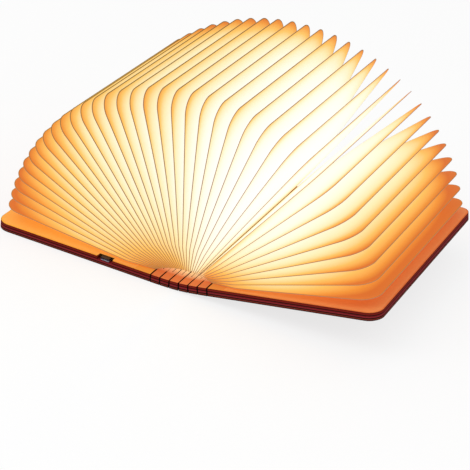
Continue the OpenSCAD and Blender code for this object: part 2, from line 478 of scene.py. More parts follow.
def softened_copy(node: str, name: str, material: Material, radius: float) -> Piece:
    """Makes a piece from a CAD node's own shape, with its edges eased as sanding leaves them.

    Args:
        node: CAD node that is copied.
        name: Name of the new piece.
        material: Material of the new piece.
        radius: Radius of the eased edges in metres.

    Returns:
        The new piece, which does not yet replace the node.
    """
    shape = bmesh.new()
    shape.from_mesh(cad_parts[node].data)
    bmesh.ops.remove_doubles(shape, verts=shape.verts, dist=WELD)
    bmesh.ops.dissolve_limit(
        shape, angle_limit=FLAT_ANGLE, verts=shape.verts, edges=shape.edges
    )
    mesh = bpy.data.meshes.new(name)
    shape.to_mesh(mesh)
    shape.free()
    mesh.materials.clear()
    mesh.materials.append(material)
    piece = mesh_object(name, mesh)
    soften_edges(piece, radius)
    return piece


def write_places(piece: Piece, attribute: str, place: Matrix) -> None:
    """Stores every point's place in other axes, for the material to read.

    Args:
        piece: The piece whose mesh gets the attribute.
        attribute: Name of the attribute.
        place: Matrix from the frame to those axes.
    """
    layer = piece.data.attributes.new(attribute, "FLOAT_VECTOR", "POINT")
    for vertex, item in zip(piece.data.vertices, layer.data):
        item.vector = place @ vertex.co


def stand_for(piece: Piece, node: str, body: str) -> None:
    """Lets a finished piece take a CAD node's place.

    Args:
        piece: The new piece.
        node: CAD node that is hidden.
        body: CAD body that carries it.
    """
    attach(piece, body)
    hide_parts(node)
    log.info("%s rides on %s and stands for %s", piece.name, body, node)


def dress_node(node: str, material: Material) -> None:
    """Gives a CAD node that stays a finished material.

    Args:
        node: Name of the node.
        material: Its material.
    """
    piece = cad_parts[node]
    if not piece.material_slots:
        piece.data.materials.append(material)
    for slot in piece.material_slots:
        slot.material = material
    log.info("%s is dressed in %s", node, material.name)


# Finishes


@dataclass(frozen=True)
class LampLight:
    """Warm light that the leaves throw on the face under them, as a colour that fades from one
    place to another."""

    near: str = "#f0ac3e"
    far: str = "#d4743c"
    fall: LightFall = LightFall.ACROSS
    start: float = -150 * MM
    end: float = 120 * MM

    def colour(self, tree: Tree) -> Node:
        """Adds the nodes of the light.

        Args:
            tree: Tree of the material.

        Returns:
            The node that gives its colour.
        """
        spot = add_node(tree, "ShaderNodeTexCoord").outputs["Object"]
        place = add_node(tree, "ShaderNodeSeparateXYZ", spot).outputs[self.fall.value]
        if self.fall is LightFall.ALONG:
            place = maths(tree, "ABSOLUTE", place)
        share = mapped(tree, place, self.start, self.end)
        return blend(tree, share, linear(self.near), linear(self.far))


@dataclass(frozen=True)
class OiledMahogany:
    """Mahogany veneer glued over plywood and oiled: deep red-brown with broad darker bands and
    short dark pores along the grain, a faint satin gleam, sawn edges that show the plies, and
    black burnt lines where the laser cut the spine. The face under the leaves is lit."""

    name: str
    sizes: LampSizes = LampSizes()
    dark: str = "#4a1a1c"
    middle: str = "#632626"
    light: str = "#82392c"
    pore: str = "#240706"
    burnt: str = "#0e0202"
    lamp_light: LampLight = LampLight()
    # Depth down to which a point counts as veneer, and depth that the leaves' light reaches
    skin_t: float = 0.02 * MM
    lit_depth: float = 0.02 * MM
    # The lit strip ends, and the bare strip at the near end starts, this far from the middle
    lit_half: float = 94 * MM
    bare_half: float = 97 * MM
    # Width of one streak, how many times longer it is, and how much finer detail it has
    band: tuple[float, float, float] = (26 * MM, 90, 2.0)
    line: tuple[float, float, float] = (1.1 * MM, 200, 3.0)
    pore_streak: tuple[float, float, float] = (0.45 * MM, 30, 1.0)
    streak_roughness: float = 0.55
    line_share: float = 0.5
    # Noise values at which the veneer is dark, middle and light
    tone_places: tuple[float, float, float] = (0.36, 0.5, 0.62)
    # Noise values at which a pore starts, and at which it is full
    pore_from: float = 0.6
    pore_full: float = 0.72
    pore_dark: float = 0.55
    pore_relief: float = 0.08 * MM
    relief_strength: float = 0.35
    fibre_share: float = 0.4
    burn_full: float = 0.5 * MM
    burn_end: float = 0.7 * MM
    veneer_share: float = 0.15
    oiled_roughness: tuple[float, float] = (0.42, 0.58)
    sawn_roughness: float = 0.85
    gleam: float = 0.07
    glow_strength: float = 0.3
    # Plies from the outer face to the inner one, as shares of the thickness
    plies: tuple[tuple[float, str], ...] = (
        (0.0, "#2c0706"), (0.1, "#2c0706"), (0.14, "#7c3529"), (0.24, "#74301f"),
        (0.28, "#240404"), (0.37, "#240404"), (0.42, "#983038"), (0.57, "#872426"),
        (0.62, "#2c0606"), (0.7, "#2c0606"), (0.76, "#86221b"), (0.93, "#74190f"),
        (1.0, "#480b08"),
    )

    def material(self) -> Material:
        """Builds the material, which reads the place on the flat sheet."""
        made, tree = new_material(self.name)
        vector = add_node(tree, "ShaderNodeAttribute", attribute_name=BOARD_PLACE).outputs["Vector"]
        place = add_node(tree, "ShaderNodeSeparateXYZ", vector).outputs
        height = place["Z"]
        bands = self.stretched(tree, vector, *self.band)
        lines = self.stretched(tree, vector, *self.line)
        pores = self.stretched(tree, vector, *self.pore_streak)
        mixed = blend(tree, self.line_share, bands, lines, "FLOAT")
        tones = list(zip(self.tone_places, (self.dark, self.middle, self.light)))
        veneer = add_node(tree, "ShaderNodeValToRGB", mixed, stops=tones)
        pore_mask = mapped(tree, pores, self.pore_from, self.pore_full, 0.0, self.pore_dark)
        veneer = blend(tree, pore_mask, veneer, linear(self.pore))
        thickness = self.sizes.cover_t
        depth = maths(tree, "DIVIDE", height, thickness)
        plies = add_node(tree, "ShaderNodeValToRGB", depth, stops=self.plies)
        fibre = maths(tree, "MULTIPLY", lines, self.fibre_share)
        edge = blend(tree, fibre, plies, linear(self.pore))
        under = maths(tree, "LESS_THAN", height, self.skin_t)
        wood = blend(tree, under, edge, veneer)
        # The leaves' light reaches down into the cuts and hides their burnt edges, but for the
        # bare strip at the near end. At the far end they would be a stroke between two leaves.
        near = maths(tree, "MULTIPLY", place["Y"], -1.0)
        bare = mapped(tree, near, self.lit_half, self.bare_half)
        lowest = mapped(tree, bare, 0.0, 1.0, thickness - self.lit_depth, thickness - self.skin_t)
        face = maths(tree, "GREATER_THAN", height, lowest)
        light = self.lamp_light.colour(tree)
        lit = blend(tree, self.veneer_share, light, veneer)
        colour = blend(tree, face, wood, lit)
        unlit = maths(tree, "SUBTRACT", 1.0, face)
        shown = maths(tree, "MAXIMUM", unlit, bare)
        burn = maths(tree, "MULTIPLY", self.burn(tree, place["X"]), shown)
        colour = blend(tree, burn, colour, linear(self.burnt))
        glow = blend(tree, face, NO_LIGHT, light)
        glow = blend(tree, burn, glow, NO_LIGHT)
        oiled = mapped(tree, lines, *NOISE_RANGE, *self.oiled_roughness)
        rough = blend(tree, under, self.sawn_roughness, oiled, "FLOAT")
        bump = add_node(tree, "ShaderNodeBump", self.relief_strength, self.pore_relief, None,
                        pore_mask, invert=True)
        surface = add_node(
            tree, "ShaderNodeBsdfPrincipled",
            named={
                "Base Color": colour, "Roughness": rough, "Normal": bump,
                "Specular IOR Level": self.gleam,
                "Emission Color": glow, "Emission Strength": self.glow_strength,
            },
        )
        finish_material(tree, surface)
        return made

    def stretched(
        self, tree: Tree, vector: Socket, width: float, longer: float, detail: float
    ) -> Node:
        """Adds noise in streaks of one width, which are many times longer along the grain."""
        scaled = add_node(tree, "ShaderNodeMapping", vector, None, None,
                          (1 / width, 1 / (width * longer), 1 / width))
        return add_node(tree, "ShaderNodeTexNoise", scaled, 1.0, detail, self.streak_roughness)

    def burn(self, tree: Tree, across: Socket) -> Node:
        """Finds the burnt strips beside the cut lines of the spine.

        Args:
            tree: Tree of the material.
            across: Place across the flat sheet, from the first cut line.

        Returns:
            A node that is 1 in the burnt strips.
        """
        pitch = self.sizes.slat_pitch
        nearest = maths(tree, "DIVIDE", across, pitch)
        nearest = maths(tree, "ROUND", nearest)
        nearest = maths(tree, "MAXIMUM", nearest, 0.0)
        nearest = maths(tree, "MINIMUM", nearest, float(self.sizes.slat_count))
        away = maths(tree, "MULTIPLY_ADD", nearest, -pitch, across)
        away = maths(tree, "ABSOLUTE", away)
        return mapped(tree, away, self.burn_full, self.burn_end, 1.0, 0.0)


@dataclass(frozen=True)
class GlowingPaper:
    """Two sheets of fibre paper pressed into one leaf and lit from the root: almost white in the
    middle of the fan, honey to orange towards the tips, the ends and the outermost leaves,
    with faint fibres, and a thin brown seam along the outline where no light comes through."""

    sizes: LampSizes
    name: str = "fibre_paper_pressed"
    # Seam colours with painted light: brown where no light comes through, brighter at the ends of
    # the fan and golden beside the root
    seam: str = "#7c6224"
    lit_seam: str = "#bd8634"
    root_seam: str = "#cf9c34"
    # The seam is at its darkest up to the first width and gone at the second
    seam_full: float = 0.48 * MM
    seam_w: float = 0.8 * MM
    # The rim of the two sheets, which the closed book shows as its pages
    wall: str = "#b27c6c"
    wall_glow: str = "#22140a"
    lit_wall_glow: str = "#4c3018"
    root_wall_glow: str = "#624620"
    fibre: float = 1.6 * MM
    fibre_detail: tuple[float, float] = (4.0, 0.65)
    fibre_share: float = 0.07
    fibre_relief: float = 0.1 * MM
    relief_strength: float = 0.25
    roughness: float = 0.85
    gleam: float = 0.25
    # Heat is how far the light has turned from white to orange. Each fade is the distance over
    # which one cause of it falls to a third
    reach_power: float = 1.5
    tip_heat: float = 0.42
    tip_fade: float = 8 * MM
    side_fade: float = 8 * MM
    side_root_share: float = 0.4
    corner_heat: float = 0.85
    near_corner_share: float = 0.18
    corner_fade: float = 21 * MM
    corner_reach: float = 35 * MM
    root_fade: float = 30 * MM
    glow_strength: float = 0.62
    # Share of the glow colour that is also painted into the base colour, as painted light
    glow_in_base_share: float = 0.42
    # Light that comes through, from the hot middle of the fan to the coolest corners
    tones: tuple[tuple[float, str], ...] = (
        (0.0, "#ffffff"), (0.15, "#fffcee"), (0.35, "#fff0c0"), (0.55, "#fecd70"),
        (0.78, "#f4a244"), (1.0, "#e07a34"),
    )

    def material(self) -> Material:
        """Builds the material, which reads each leaf's own place and warmth."""
        made, tree = new_material(self.name)
        place = add_node(tree, "ShaderNodeAttribute", attribute_name=LEAF_PLACE).outputs["Vector"]
        spot = add_node(tree, "ShaderNodeSeparateXYZ", place).outputs
        fibres = add_node(tree, "ShaderNodeTexNoise", place, 1 / self.fibre, *self.fibre_detail)
        heat = maths(tree, "MULTIPLY_ADD", fibres, self.fibre_share, self.heat(tree, spot))
        heat = maths(tree, "SUBTRACT", heat, self.fibre_share / 2)
        colour = add_node(tree, "ShaderNodeValToRGB", heat, stops=self.tones)
        rim = self.rim_distance(tree, spot)
        seam = mapped(tree, rim, self.seam_full, self.seam_w, 1.0, 0.0)
        out = mapped(tree, spot["X"], 0.0, self.sizes.leaf_w / 2)
        lit = add_node(tree, "ShaderNodeAttribute", attribute_name=LEAF_SEAM_GLOW).outputs["Fac"]
        line = blend(tree, lit, linear(self.seam), linear(self.lit_seam))
        line = blend(tree, out, linear(self.root_seam), line)
        colour = blend(tree, seam, colour, line)
        wall = add_node(tree, "ShaderNodeAttribute", attribute_name=LEAF_WALL).outputs["Fac"]
        # Painted light in the base colour: the glow colour darkened, white in the middle and orange
        # at the tips under any lamp
        own = blend(tree, self.glow_in_base_share, NO_LIGHT, colour)
        own = blend(tree, wall, own, linear(self.wall))
        rim_glow = blend(tree, lit, linear(self.wall_glow), linear(self.lit_wall_glow))
        rim_glow = blend(tree, out, linear(self.root_wall_glow), rim_glow)
        glow = blend(tree, wall, colour, rim_glow)
        bump = add_node(tree, "ShaderNodeBump", self.relief_strength, self.fibre_relief, None,
                        fibres)
        surface = add_node(
            tree, "ShaderNodeBsdfPrincipled",
            named={
                "Base Color": own, "Roughness": self.roughness, "Normal": bump,
                "Specular IOR Level": self.gleam,
                "Emission Color": glow, "Emission Strength": self.glow_strength,
            },
        )
        finish_material(tree, surface)
        return made

    def heat(self, tree: Tree, spot: Sockets) -> Node:
        """Works out how far the light at a point has turned from white to orange.

        Args:
            tree: Tree of the material.
            spot: Distance from the root, place along the spine, and the leaf's width.

        Returns:
            A node that is 0 where the paper is white and 1 where it is deep orange.
        """
        reach, along, width = spot["X"], spot["Y"], spot["Z"]
        half = self.sizes.leaf_len / 2
        warmth = add_node(tree, "ShaderNodeAttribute", attribute_name=LEAF_WARMTH)
        warm = add_node(tree, "ShaderNodeSeparateXYZ", warmth.outputs["Vector"]).outputs
        far = maths(tree, "DIVIDE", reach, width)
        far = maths(tree, "POWER", far, self.reach_power)
        heat = maths(tree, "MULTIPLY", far, warm["X"])
        root = self.fade(tree, reach, self.root_fade)
        heat = maths(tree, "MULTIPLY_ADD", root, warm["Y"], heat)
        from_tip = maths(tree, "SUBTRACT", width, reach)
        tip = self.fade(tree, from_tip, self.tip_fade)
        heat = maths(tree, "MULTIPLY_ADD", tip, self.tip_heat, heat)
        from_near = maths(tree, "ADD", along, half)
        near_end = self.fade(tree, from_near, self.side_fade)
        share = maths(tree, "MULTIPLY_ADD", far, 1 - self.side_root_share, self.side_root_share)
        near_end = maths(tree, "MULTIPLY", near_end, share)
        heat = maths(tree, "MULTIPLY_ADD", near_end, warm["Z"], heat)
        from_far = maths(tree, "SUBTRACT", half, along)
        near_corner = self.fade(tree, from_near, self.corner_fade)
        far_corner = self.fade(tree, from_far, self.corner_fade)
        both = maths(tree, "MULTIPLY_ADD", near_corner, self.near_corner_share, far_corner)
        corner = self.fade(tree, from_tip, self.corner_reach)
        corner = maths(tree, "MULTIPLY", both, corner)
        return maths(tree, "MULTIPLY_ADD", corner, self.corner_heat, heat)

    def fade(self, tree: Tree, distance: NodeValue, length: float) -> Node:
        """Adds a value that is 1 at no distance and falls to about a third over one length."""
        power = maths(tree, "MULTIPLY", distance, -1 / length)
        return maths(tree, "EXPONENT", power)

    def rim_distance(self, tree: Tree, spot: Sockets) -> Node:
        """Works out how far inside the leaf's rounded outline a point lies.

        Args:
            tree: Tree of the material.
            spot: Distance from the root, place along the spine, and the leaf's width.

        Returns:
            A node with the distance in metres.
        """
        sizes = self.sizes
        over = maths(tree, "SUBTRACT", spot["X"], spot["Z"])
        over = maths(tree, "ADD", over, sizes.leaf_r)
        side = maths(tree, "ABSOLUTE", spot["Y"])
        straight = sizes.leaf_len / 2 - sizes.leaf_r
        limit = mapped(tree, spot["X"], 0.0, sizes.root_taper, straight - sizes.root_inset,
                       straight)
        side = maths(tree, "SUBTRACT", side, limit)
        most = maths(tree, "MAXIMUM", over, side)
        inner = maths(tree, "MINIMUM", most, 0.0)
        over = maths(tree, "MAXIMUM", over, 0.0)
        side = maths(tree, "MAXIMUM", side, 0.0)
        corner = add_node(tree, "ShaderNodeCombineXYZ", over, side, 0.0)
        corner = add_node(tree, "ShaderNodeVectorMath", corner, operation="LENGTH")
        total = maths(tree, "ADD", corner.outputs["Value"], inner)
        return maths(tree, "SUBTRACT", sizes.leaf_r, total)


@dataclass(frozen=True)
class PlainFinish:
    """A finish of one colour with fine mottling, small dents and uneven gloss."""

    name: str
    colour: str
    shade: str
    grain: float = 2 * MM
    grain_detail: tuple[float, float] = (4.0, 0.6)
    # Noise values at which the mottling is all shade, and all of the main colour
    shade_to: float = 0.35
    colour_from: float = 0.65
    roughness: float = 0.5
    gloss_spread: float = 0.07
    metallic: float = 0.0
    lamp_light: Optional[LampLight] = None
    light_share: float = 0.5
    glow_strength: float = 0.0
    dent: float = 0.05 * MM
    relief_strength: float = 0.3

    def material(self) -> Material:
        """Builds the material."""
        made, tree = new_material(self.name)
        place = add_node(tree, "ShaderNodeTexCoord").outputs["Object"]
        mottle = add_node(tree, "ShaderNodeTexNoise", place, 1 / self.grain, *self.grain_detail)
        colour = add_node(tree, "ShaderNodeValToRGB", mottle,
                          stops=[(self.shade_to, self.shade), (self.colour_from, self.colour)])
        rough = mapped(tree, mottle, *NOISE_RANGE, self.roughness - self.gloss_spread,
                       self.roughness + self.gloss_spread)
        bump = add_node(tree, "ShaderNodeBump", self.relief_strength, self.dent, None, mottle)
        named: dict[str, NodeValue] = {
            "Roughness": rough, "Metallic": self.metallic, "Normal": bump,
        }
        if self.lamp_light:
            light = self.lamp_light.colour(tree)
            colour = blend(tree, self.light_share, colour, light)
            named["Emission Color"] = light
            named["Emission Strength"] = self.glow_strength
        named["Base Color"] = colour
        finish_material(tree, add_node(tree, "ShaderNodeBsdfPrincipled", named=named))
        return made


@dataclass(frozen=True)
class LayeredFinish:
    """A part whose colour changes with height, such as a circuit board under its components, or a
    socket with a painted glint at its foot and painted shade above.
    """

    name: str
    layers: tuple[tuple[float, str], ...]
    grain: float = 0.8 * MM
    grain_detail: float = 3.0
    darkest: float = 0.8
    roughness: float = 0.4
    gloss_spread: float = 0.08
    metallic: float = 0.0
    glow_strength: float = 0.0

    def material(self, node: str) -> Material:
        """Builds the material for one CAD node.

        Args:
            node: The node, whose lowest point is where the layers start.

        Returns:
            The material.
        """
        low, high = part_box(node)
        whole = high[2] - low[2]
        made, tree = new_material(self.name)
        place = add_node(tree, "ShaderNodeTexCoord").outputs["Object"]
        height = add_node(tree, "ShaderNodeSeparateXYZ", place).outputs["Z"]
        share = mapped(tree, height, low[2], high[2])
        stops = [(level / whole, code) for level, code in self.layers]
        layer = add_node(tree, "ShaderNodeValToRGB", share, stops=stops)
        layer.color_ramp.interpolation = "CONSTANT"
        mottle = add_node(tree, "ShaderNodeTexNoise", place, 1 / self.grain, self.grain_detail)
        tint = mapped(tree, mottle, *NOISE_RANGE, self.darkest, 1.0)
        colour = add_node(tree, "ShaderNodeVectorMath", layer.outputs["Color"],
                          operation="SCALE", named={"Scale": tint})
        rough = mapped(tree, mottle, *NOISE_RANGE, self.roughness - self.gloss_spread,
                       self.roughness + self.gloss_spread)
        surface = add_node(
            tree, "ShaderNodeBsdfPrincipled",
            named={
                "Base Color": colour, "Roughness": rough, "Metallic": self.metallic,
                "Emission Color": layer, "Emission Strength": self.glow_strength,
            },
        )
        finish_material(tree, surface)
        return made


# Uncoated paper glued to the cover: matt, yellow to orange under the lamp's light
LINER_PAPER = PlainFinish(
    "uncoated_paper_glued", "#d9954e", "#cc8542", grain=3 * MM, roughness=0.8,
    lamp_light=LampLight(), glow_strength=0.3,
)
# Aluminium foil pouch of a flat cell: dull silver with soft creases
POUCH_FOIL = PlainFinish(
    "aluminium_foil_pouch", "#c9ccd1", "#a9adb3", grain=6 * MM, roughness=0.38, metallic=0.85,
    dent=0.3 * MM,
)
# Moulded epoxy: black, slightly grainy
MOULDED_EPOXY = PlainFinish(
    "epoxy_moulded", "#2b2b2d", "#1e1e20", grain=0.6 * MM, roughness=0.55
)
# Sintered magnet, nickel plated: bright with a slightly warm tone
PLATED_NICKEL = PlainFinish(
    "nickel_plated", "#cfc9bf", "#b9b3a8", grain=1 * MM, roughness=0.25, metallic=1.0
)
# Black solder mask on glass-fibre board, with grey moulded components standing on it
COATED_BOARD = LayeredFinish(
    "solder_mask_black", ((0.0, "#0d1210"), (0.8 * MM, "#4a4d50"), (1.4 * MM, "#2a2b2d")),
    roughness=0.35,
)
# White solder mask with yellow phosphor on the chips, both lit
LIT_BOARD = LayeredFinish(
    "solder_mask_white_lit", ((0.0, "#f4f0e0"), (0.8 * MM, "#ffd35a")), glow_strength=0.8
)
# Stainless steel, deep drawn, with painted light: a painted glint as a bright lower lip, and
# painted shade that keeps the rest dark in the notch
SOCKET_STEEL_PAINTED_GLINT_AND_SHADE = LayeredFinish(
    "stainless_steel_painted_glint_and_shade", ((0.0, "#b9b4c6"), (0.5 * MM, "#39282c")), roughness=0.4,
    metallic=0.6,
)


# Sub-assemblies


@dataclass
class Covers:
    """The two laminated covers with their liners and catch magnets."""

    sizes: LampSizes
    layout: Layout
    arris: float = 0.3 * MM

    def build(self) -> None:
        """Makes the four boards and dresses the liners and magnets."""
        # Oiled veneer on the outer boards, deep and even, and plywood on the inner ones, redder
        outer = OiledMahogany("mahogany_veneer_oiled").material()
        inner = OiledMahogany(
            "mahogany_plywood_oiled", dark="#501d1b", middle="#6b2a25", light="#8a4030"
        ).material()
        for side, line in ((Side.LEFT, -1), (Side.RIGHT, self.sizes.slat_count)):
            place = self.layout.unrolled(line)
            body = f"{side.value}_cover"
            for board, slot, material in (
                ("outer_board", "outer_wood", outer), ("inner_board", "inner_wood", inner)
            ):
                node = f"{side.value}_{board}"
                piece = softened_copy(node, f"{node}_wood", material, self.arris)
                write_places(piece, BOARD_PLACE, place)
                stand_for(piece, node, body)
        liner = LINER_PAPER.material()
        magnet = PLATED_NICKEL.material()
        for side in Side:
            dress_node(f"{side.value}_liner", liner)
            dress_node(f"{side.value}_magnet_near", magnet)
            dress_node(f"{side.value}_magnet_far", magnet)
        dress_node("switch_magnet", magnet)


@dataclass
class Spine:
    """The slats that are cut into one sheet with closed slits and open cut lines."""

    sizes: LampSizes
    layout: Layout
    # Air that is left in a cut when the book is closed
    spare: float = 0.07 * MM
    outer_half_cut: float = 0.15 * MM
    # How far the end slats reach past the outer bending lines, into the covers' edges
    cover_reach: float = 0.35 * MM
    # Only a strip's own walls lie further from its middle than this share of its width
    wall_share: float = 0.49
    wall_spare: float = 0.01 * MM
    arris: float = 0.12 * MM

    def build(self) -> None:
        """Makes one piece for each slat."""
        # White beside the leaves' roots, orange at the ends that the leaves leave bare
        glow = LampLight(near="#ffe4b4", far="#d2743f", fall=LightFall.ALONG,
                         start=87 * MM, end=97 * MM)
        # A lattice cut by laser: burnt edges, and light that reaches down into the cuts
        material = OiledMahogany(
            "mahogany_lattice_cut", lamp_light=glow, lit_depth=0.25 * MM, glow_strength=0.35
        ).material()
        tree = self.slat_tree()
        sizes = self.sizes
        for slat in range(1, sizes.slat_count + 1):
            gap = sizes.middle_gap if slat == sizes.slat_count // 2 else sizes.bridge_gap
            last = slat == sizes.slat_count
            left = -self.cover_reach if slat == 1 else self.half_cut(slat - 1)
            right = -self.cover_reach if last else self.half_cut(slat)
            following = sizes.cut_w / 2 if last else self.half_cut(slat)
            piece = grown(f"slat_{slat}_wood", tree, {
                "Length": sizes.cover_len,
                "Pitch": sizes.slat_pitch,
                "Left Inset": left,
                "Right Inset": right,
                "Next Inset": following,
                "Left Foot": 0.0 if slat == 1 else left - self.outer_half_cut,
                "Right Foot": 0.0 if last else right - self.outer_half_cut,
                "Next Foot": 0.0 if last else following - self.outer_half_cut,
                "Thickness": sizes.cover_t,
                "Axis Height": sizes.axis_h,
                "Slit Width": sizes.slit_w,
                "Slit Land": sizes.slit_land,
                "Bridge Length": sizes.bridge_len,
                "Bridge Gap": gap,
                "Top Gap": sizes.bridge_gap,
                "Material": material,
            })
            soften_edges(piece, self.arris)
            piece.data.transform(self.layout.hinge(slat - 1))
            write_places(piece, BOARD_PLACE, self.layout.unrolled(slat - 1))
            stand_for(piece, f"slat_{slat}", f"slat_{slat}")

    def half_cut(self, line: int) -> float:
        """Half the width that a cut line needs at the inner face so that the book can close."""
        return self.sizes.bend_depth * math.tan(self.layout.closed_bends[line] / 2) + self.spare

    def slat_tree(self) -> Tree:
        """Builds the geometry nodes of a slat: a strip with two closed slits and two bridges.
        Its sides lean out towards the outer face, so that the cut lines stay thin there."""
        tree = new_shape_tree("slat", (
            "Length", "Pitch", "Left Inset", "Right Inset", "Next Inset", "Left Foot",
            "Right Foot", "Next Foot", "Thickness", "Axis Height", "Slit Width", "Slit Land",
            "Bridge Length", "Bridge Gap", "Top Gap",
        ))
        given = add_node(tree, "NodeGroupInput").outputs
        right_side = maths(tree, "SUBTRACT", given["Pitch"], given["Right Inset"])
        strip_w = maths(tree, "SUBTRACT", right_side, given["Left Inset"])
        middle = maths(tree, "ADD", right_side, given["Left Inset"])
        middle = maths(tree, "MULTIPLY", middle, 0.5)
        outline = add_node(tree, "GeometryNodeCurvePrimitiveQuadrilateral", strip_w,
                           given["Length"])
        # Two slits leave one land between them and half a land at each end
        half = maths(tree, "MULTIPLY", given["Length"], 0.5)
        slit_len = maths(tree, "MULTIPLY_ADD", given["Slit Land"], -1.5, half)
        slit = add_node(tree, "GeometryNodeCurvePrimitiveQuadrilateral", given["Slit Width"],
                        slit_len)
        spacing = maths(tree, "ADD", slit_len, given["Slit Land"])
        slits = self.pair(tree, slit, spacing)
        flat = add_node(tree, "GeometryNodeFillCurve", joined(tree, outline, slits))
        lower = maths(tree, "MULTIPLY", given["Axis Height"], -1.0)
        at = add_node(tree, "ShaderNodeCombineXYZ", middle, 0.0, lower)
        face = add_node(tree, "GeometryNodeTransform", flat, at)
        strip, _ = thickened(tree, face, given["Thickness"])
        strip_edge = maths(tree, "MULTIPLY_ADD", strip_w, self.wall_share, middle)
        other_edge = maths(tree, "MULTIPLY_ADD", strip_w, -self.wall_share, middle)
        strip = self.leaned(tree, given, strip, strip_edge, given["Right Foot"])
        inward = maths(tree, "MULTIPLY", given["Left Foot"], -1.0)
        strip = self.leaned(tree, given, strip, other_edge, inward, beyond=False)
        bridges = self.bridges(tree, given, half)
        next_foot = maths(tree, "MULTIPLY", given["Next Foot"], -1.0)
        bridge_edge = maths(tree, "ADD", right_side, self.wall_spare)
        bridges = self.leaned(tree, given, bridges, bridge_edge, next_foot)
        finish_shape(tree, joined(tree, strip, bridges), given["Material"])
        return tree

    def leaned(
        self, tree: Tree, given: Sockets,
        shape: Node, edge: NodeValue, foot: NodeValue, beyond: bool = True,
    ) -> Node:
        """Leans one side of a shape, most at the outer face and not at all at the inner one.

        Args:
            tree: Tree that the nodes go into.
            given: Inputs of the tree.
            shape: What is leaned.
            edge: Place across the spine past which points move.
            foot: How far they move across at the outer face.
            beyond: Whether the points above that place move, or those below it.

        Returns:
            The node that gives the leaned shape.
        """
        here = add_node(tree, "ShaderNodeSeparateXYZ",
                        add_node(tree, "GeometryNodeInputPosition")).outputs
        depth = maths(tree, "DIVIDE", here["Z"], given["Thickness"])
        inner = maths(tree, "SUBTRACT", given["Thickness"], given["Axis Height"])
        inner = maths(tree, "DIVIDE", inner, given["Thickness"])
        share = maths(tree, "SUBTRACT", inner, depth)
        slide = maths(tree, "MULTIPLY", share, foot)
        offset = add_node(tree, "ShaderNodeCombineXYZ", slide, 0.0, 0.0)
        chosen = add_node(
            tree, "FunctionNodeCompare", here["X"], edge,
            operation="GREATER_THAN" if beyond else "LESS_THAN",
        )
        return add_node(tree, "GeometryNodeSetPosition", shape, chosen, None, offset)

    def pair(self, tree: Tree, shape: Node, spacing: Node) -> Node:
        """Repeats a shape at two places along the spine.

        Args:
            tree: Tree that the nodes go into.
            shape: What is repeated.
            spacing: Distance between the two, evenly about the middle.

        Returns:
            The node that gives both.
        """
        first = maths(tree, "MULTIPLY", spacing, -0.5)
        start = add_node(tree, "ShaderNodeCombineXYZ", 0.0, first, 0.0)
        step = add_node(tree, "ShaderNodeCombineXYZ", 0.0, spacing, 0.0)
        points = add_node(tree, "GeometryNodeMeshLine", 2, start, step)
        copies = add_node(tree, "GeometryNodeInstanceOnPoints", points, None, shape)
        return add_node(tree, "GeometryNodeRealizeInstances", copies)

    def bridges(self, tree: Tree, given: Sockets, half: Node) -> Node:
        """Adds the two bridges that reach over the next cut line.

        Args:
            tree: Tree that the nodes go into.
            given: Inputs of the tree.
            half: Half the length, which is the bridges' spacing.

        Returns:
            The node that gives both bridges.
        """
        reach = maths(tree, "ADD", given["Right Inset"], given["Next Inset"])
        reach = maths(tree, "SUBTRACT", reach, given["Bridge Gap"])
        height = maths(tree, "SUBTRACT", given["Axis Height"], given["Top Gap"])
        size = add_node(tree, "ShaderNodeCombineXYZ", reach, given["Bridge Length"], height)
        block = add_node(tree, "GeometryNodeMeshCube", size)
        start = maths(tree, "SUBTRACT", given["Pitch"], given["Right Inset"])
        across = maths(tree, "MULTIPLY_ADD", reach, 0.5, start)
        middle = maths(tree, "MULTIPLY", height, -0.5)
        middle = maths(tree, "SUBTRACT", middle, given["Top Gap"])
        at = add_node(tree, "ShaderNodeCombineXYZ", across, 0.0, middle)
        block = add_node(tree, "GeometryNodeTransform", block.outputs["Mesh"], at)
        return self.pair(tree, block, half)


